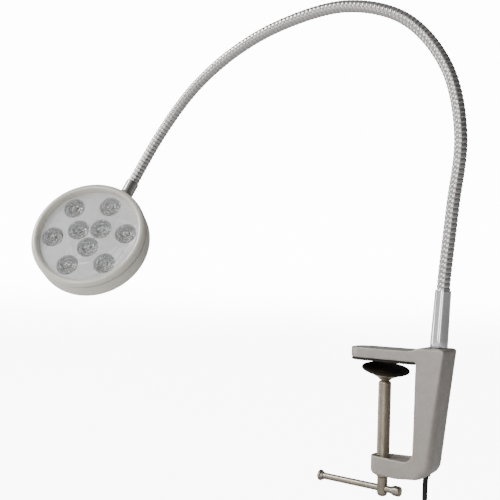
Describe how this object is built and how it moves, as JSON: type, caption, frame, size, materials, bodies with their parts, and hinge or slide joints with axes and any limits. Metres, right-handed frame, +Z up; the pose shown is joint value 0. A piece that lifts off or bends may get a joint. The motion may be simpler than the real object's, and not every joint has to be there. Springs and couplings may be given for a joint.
{
  "type": "examination lamp",
  "caption": "Clamp-on examination lamp: C-shaped table clamp with a tommy-bar screw, ribbed gooseneck and a round multi-lens LED head.",
  "frame": {"origin": "on the clamping face, the underside of the upper jaw's rubber pad, on the clamp screw's axis", "axes": "+Z up along the screw, out of the clamping face into the clamp; the jaws point to -X and the neck bends over them in the XZ plane"},
  "size_m": [0.3775, 0.1122, 0.4671],
  "materials": {
    "cast_paint": "satin grey paint on a casting",
    "black_rubber": "matte",
    "chrome": "polished",
    "nickel": "nickel plated",
    "pearl_paint": "pearl satin",
    "panel": "satin",
    "lens": "clear, polished",
    "board": "coated circuit board",
    "steel": "zinc plated",
    "black_plastic": "fine texture"
  },
  "bodies": {
    "base": {"clamp_body": "cast_paint", "jaw_pad": "black_rubber", "base_ferrule": "chrome", "lock_screw": "steel", "cable_grommet": "black_rubber", "neck_1": "chrome", "cord": "black_rubber", "cord_coil": "black_rubber", "cord_tie": "black_plastic", "cord_tail": "black_rubber", "plug_relief": "black_rubber", "plug_body": "black_plastic", "plug_pin_1": "steel", "plug_pin_2": "steel"},
    "link_2": {"neck_2": "chrome"},
    "link_3": {"neck_3": "chrome"},
    "link_4": {"neck_4": "chrome"},
    "link_5": {"neck_5": "chrome"},
    "link_6": {"neck_6": "chrome"},
    "link_7": {"neck_7": "chrome"},
    "link_8": {"neck_8": "chrome"},
    "head": {"neck_9": "chrome", "head_ferrule": "nickel", "head_nut": "steel", "rear_shell": "pearl_paint", "front_bezel": "pearl_paint", "seal_ring": "black_rubber", "lens_panel": "panel", "led_board": "board", "driver_board": "black_plastic", "switch_housing": "black_plastic", "rear_screw_1": "steel", "rear_screw_2": "steel", "rear_screw_3": "steel", "lens_1": "lens", "lens_2": "lens", "lens_3": "lens", "lens_4": "lens", "lens_5": "lens", "lens_6": "lens", "lens_7": "lens", "lens_8": "lens", "lens_9": "lens"},
    "switch_button": {"switch_button": "black_plastic"},
    "screw_carrier": {"foot_ball": "nickel"},
    "screw": {"clamp_screw": "nickel"},
    "bar": {"tommy_bar": "nickel", "tommy_bar_knob": "nickel", "tommy_bar_cap": "nickel"},
    "foot": {"foot_cup": "nickel", "foot_pad": "black_rubber"}
  },
  "joints": [
    {"name": "neck_sway_1", "type": "hinge", "parent": "base", "child": "link_2", "pos_m": [0.04673, 0, 0.08362], "axis": [0.9952, 0, -0.0982], "range_deg": [-20, 20]},
    {"name": "neck_bend_2", "type": "hinge", "parent": "link_2", "child": "link_3", "pos_m": [0.05467, 0, 0.15455], "axis": [0, 1, 0], "range_deg": [-10, 25]},
    {"name": "neck_bend_3", "type": "hinge", "parent": "link_3", "child": "link_4", "pos_m": [0.04331, 0, 0.22431], "axis": [0, 1, 0], "range_deg": [-10, 25]},
    {"name": "neck_sway_4", "type": "hinge", "parent": "link_4", "child": "link_5", "pos_m": [-0.00461, 0, 0.27533], "axis": [0.4418, 0, 0.8971], "range_deg": [-20, 20]},
    {"name": "neck_bend_5", "type": "hinge", "parent": "link_5", "child": "link_6", "pos_m": [-0.07418, 0, 0.28589], "axis": [0, 1, 0], "range_deg": [-10, 25]},
    {"name": "neck_bend_6", "type": "hinge", "parent": "link_6", "child": "link_7", "pos_m": [-0.14308, 0, 0.26822], "axis": [0, 1, 0], "range_deg": [-10, 25]},
    {"name": "neck_sway_7", "type": "hinge", "parent": "link_7", "child": "link_8", "pos_m": [-0.20296, -0.00027, 0.23006], "axis": [-0.6832, 0, 0.7303], "range_deg": [-20, 20]},
    {"name": "neck_bend_8", "type": "hinge", "parent": "link_8", "child": "head", "pos_m": [-0.24304, -0.00905, 0.1726], "axis": [-0.0967, 0.97, -0.2231], "range_deg": [-10, 25]},
    {"name": "switch_press", "type": "slide", "parent": "head", "child": "switch_button", "axis": [0.399, -0.8146, 0.421], "range_m": [0, 0.0015], "stiffness_N_per_m": 800},
    {"name": "screw_travel", "type": "slide", "parent": "base", "child": "screw_carrier", "axis": [0, 0, 1], "range_m": [-0.0501, 0.0016]},
    {"name": "screw_turn", "type": "hinge", "parent": "screw_carrier", "child": "screw", "pos_m": [0, 0, -0.06], "axis": [0, 0, 1], "range_deg": [-12000, 360]},
    {"name": "bar_slide", "type": "slide", "parent": "screw", "child": "bar", "axis": [0.9968, -0.0802, 0], "range_m": [0, 0.042]},
    {"name": "foot_tilt", "type": "hinge", "parent": "screw_carrier", "child": "foot", "pos_m": [0, 0, -0.0124], "axis": [0.719, 0.695, 0], "range_deg": [-20, 0]}
  ],
  "couplings": [
    {"joint": "screw_travel", "follows": "screw_turn", "m_per_rad": 0.00023873}
  ]
}
